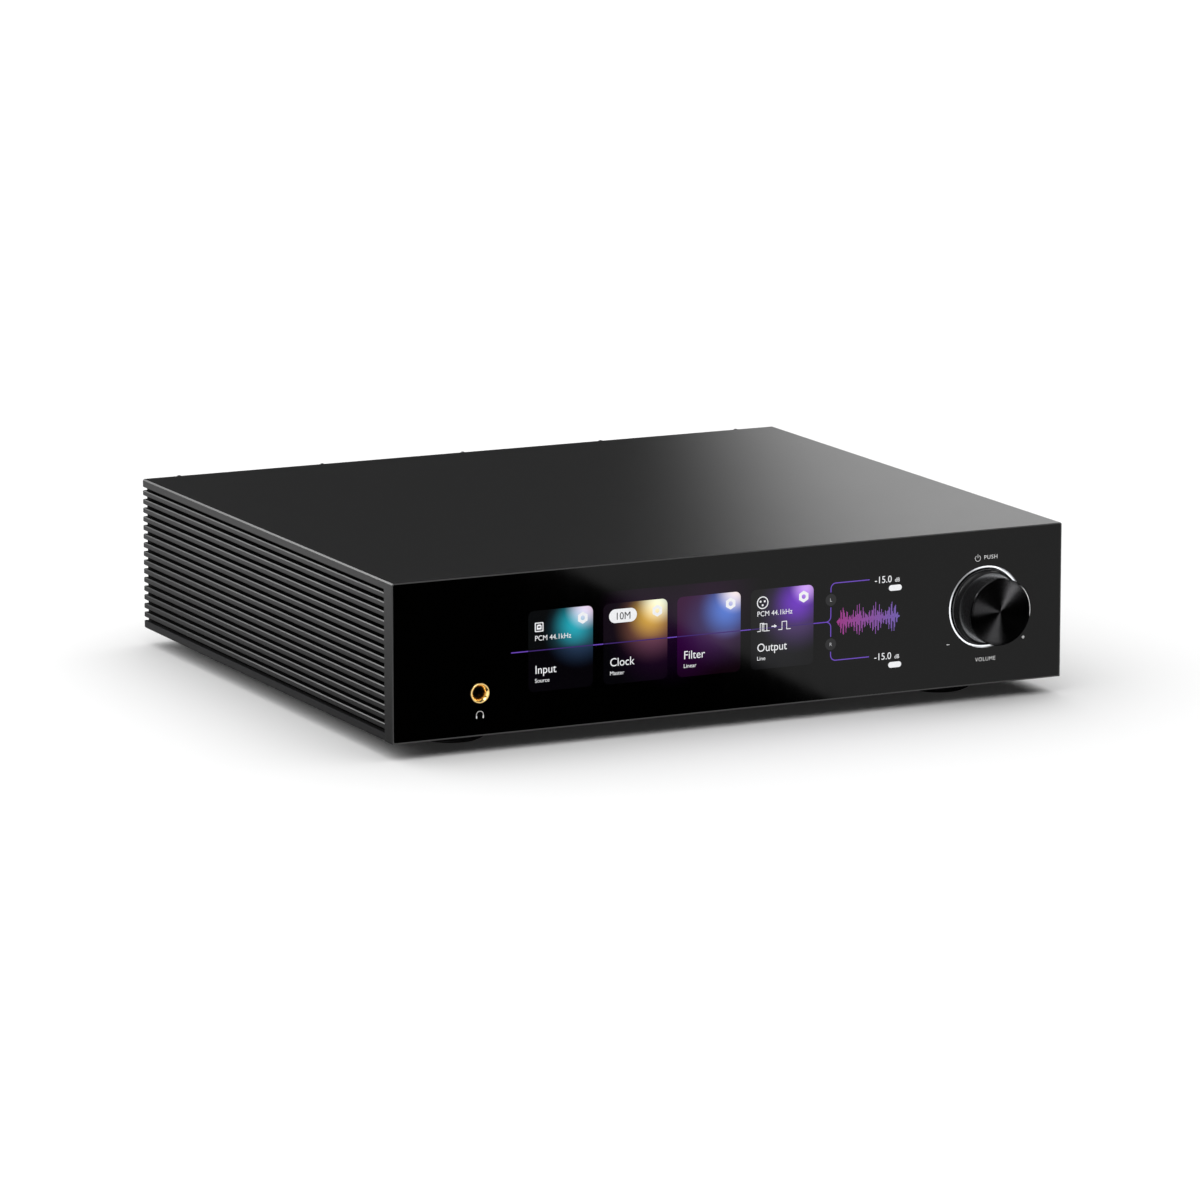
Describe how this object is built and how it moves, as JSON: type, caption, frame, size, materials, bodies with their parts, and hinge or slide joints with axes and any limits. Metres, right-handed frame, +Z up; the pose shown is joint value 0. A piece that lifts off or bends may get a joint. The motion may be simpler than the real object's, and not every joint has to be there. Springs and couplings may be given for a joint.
{
  "type": "desktop DAC",
  "caption": "Full-width desktop audio converter with ribbed sides, a black glass front with a bar display, a push-and-turn volume knob, a headphone socket and rear sockets.",
  "frame": {"origin": "on the surface it stands on, at the centre of its bounding box", "axes": "+X to the right seen from the front, +Y from the front to the rear, +Z up"},
  "size_m": [0.43, 0.4, 0.102],
  "materials": {
    "case_metal": "black anodised, fine satin grain",
    "base_metal": "black anodised, satin",
    "rib_metal": "dark grey anodised, satin",
    "rear_metal": "black anodised, satin",
    "front_glass": "black backed glass, polished",
    "plated_steel": "zinc plated",
    "black_screw": "black oxide",
    "foot_metal": "black anodised, satin",
    "foot_rubber": "matte",
    "display": "colour display behind glass",
    "circuit_board": "solder mask",
    "knob_metal": "spun face, gloss black",
    "cream_plastic": "moulded",
    "well_plastic": "moulded, black",
    "light_ring": "lit white light guide",
    "gold_plate": "gold plated",
    "black_plastic": "moulded, fine grain",
    "winding": "taped winding",
    "capacitor_sleeve": "shrink sleeve",
    "nickel": "nickel plated",
    "fuse_glass": "glass tube",
    "rocker_plastic": "moulded",
    "socket_metal": "black plated",
    "white_plastic": "moulded",
    "ring_plastic": "moulded, coloured"
  },
  "bodies": {
    "root": {"front_frame": "case_metal", "front_glass": "front_glass", "top_cover": "case_metal", "bottom_plate": "base_metal", "left_side_panel": "rib_metal", "right_side_panel": "rib_metal", "rear_panel": "rear_metal", "corner_brackets": "plated_steel", "inner_screws": "plated_steel", "rear_screws": "black_screw", "foot_bodies": "foot_metal", "foot_pads": "foot_rubber", "foot_screws": "plated_steel", "display_panel": "display", "display_bracket": "plated_steel", "processor_board": "circuit_board", "encoder_body": "plated_steel", "encoder_nut": "plated_steel", "knob_well": "well_plastic", "light_ring": "light_ring", "control_board": "circuit_board", "headphone_ferrule": "gold_plate", "headphone_jack_body": "black_plastic", "headphone_nut": "gold_plate", "main_board": "circuit_board", "board_standoffs": "gold_plate", "power_board": "circuit_board", "transformers": "winding", "transformer_clamps": "plated_steel", "reservoir_capacitors": "capacitor_sleeve", "regulator_heatsinks": "rib_metal", "clock_oven": "gold_plate", "relays": "cream_plastic", "converter_chips": "black_plastic", "shield_wall": "plated_steel", "mains_wiring": "black_plastic", "signal_ribbons": "cream_plastic", "mains_inlet": "black_plastic", "inlet_pins": "nickel", "xlr_output_sockets": "socket_metal", "xlr_output_pins": "gold_plate", "xlr_input_socket": "socket_metal", "rca_shells": "gold_plate", "rca_insulators": "white_plastic", "rca_rings": "ring_plastic", "clock_socket": "nickel", "data_socket_shells": "nickel", "data_socket_tongues": "black_plastic", "optical_socket": "black_plastic", "trigger_jacks": "black_plastic"},
    "rotor": {"encoder_rotor": "cream_plastic"},
    "knob": {"volume_knob": "knob_metal", "knob_grub_screw": "black_screw", "encoder_shaft": "plated_steel"},
    "plunger": {"encoder_plunger": "cream_plastic"},
    "rocker": {"power_rocker": "rocker_plastic"},
    "drawer": {"fuse_drawer": "black_plastic", "fuse": "fuse_glass"},
    "latch": {"xlr_latch": "nickel"},
    "shutter": {"optical_shutter": "rocker_plastic"}
  },
  "joints": [
    {"name": "knob_turn", "type": "hinge", "parent": "root", "child": "rotor", "pos_m": [0.1647, -0.182, 0.056], "axis": [0, 1, 0], "continuous": true},
    {"name": "knob_push", "type": "slide", "parent": "rotor", "child": "knob", "axis": [0, 1, 0], "range_m": [0, 0.0015], "stiffness_N_per_m": 1500, "springref_m": -0.001},
    {"name": "switch_press", "type": "slide", "parent": "root", "child": "plunger", "axis": [0, 1, 0], "range_m": [0, 0.0015]},
    {"name": "power_switch", "type": "hinge", "parent": "root", "child": "rocker", "pos_m": [-0.168, 0.185, 0.075], "axis": [-1, 0, 0], "range_deg": [0, 20]},
    {"name": "fuse_drawer_slide", "type": "slide", "parent": "root", "child": "drawer", "axis": [0, 1, 0], "range_m": [0, 0.026]},
    {"name": "latch_press", "type": "slide", "parent": "root", "child": "latch", "axis": [0, -1, 0], "range_m": [0, 0.0016], "stiffness_N_per_m": 400, "springref_m": -0.001},
    {"name": "shutter_swing", "type": "hinge", "parent": "root", "child": "shutter", "pos_m": [-0.066, 0.185, 0.0754], "axis": [-1, 0, 0], "range_deg": [0, 80], "stiffness_Nm_per_rad": 0.001, "springref_deg": -17.19}
  ],
  "couplings": [
    {"joint": "switch_press", "follows": "knob_push", "ratio": 1}
  ]
}
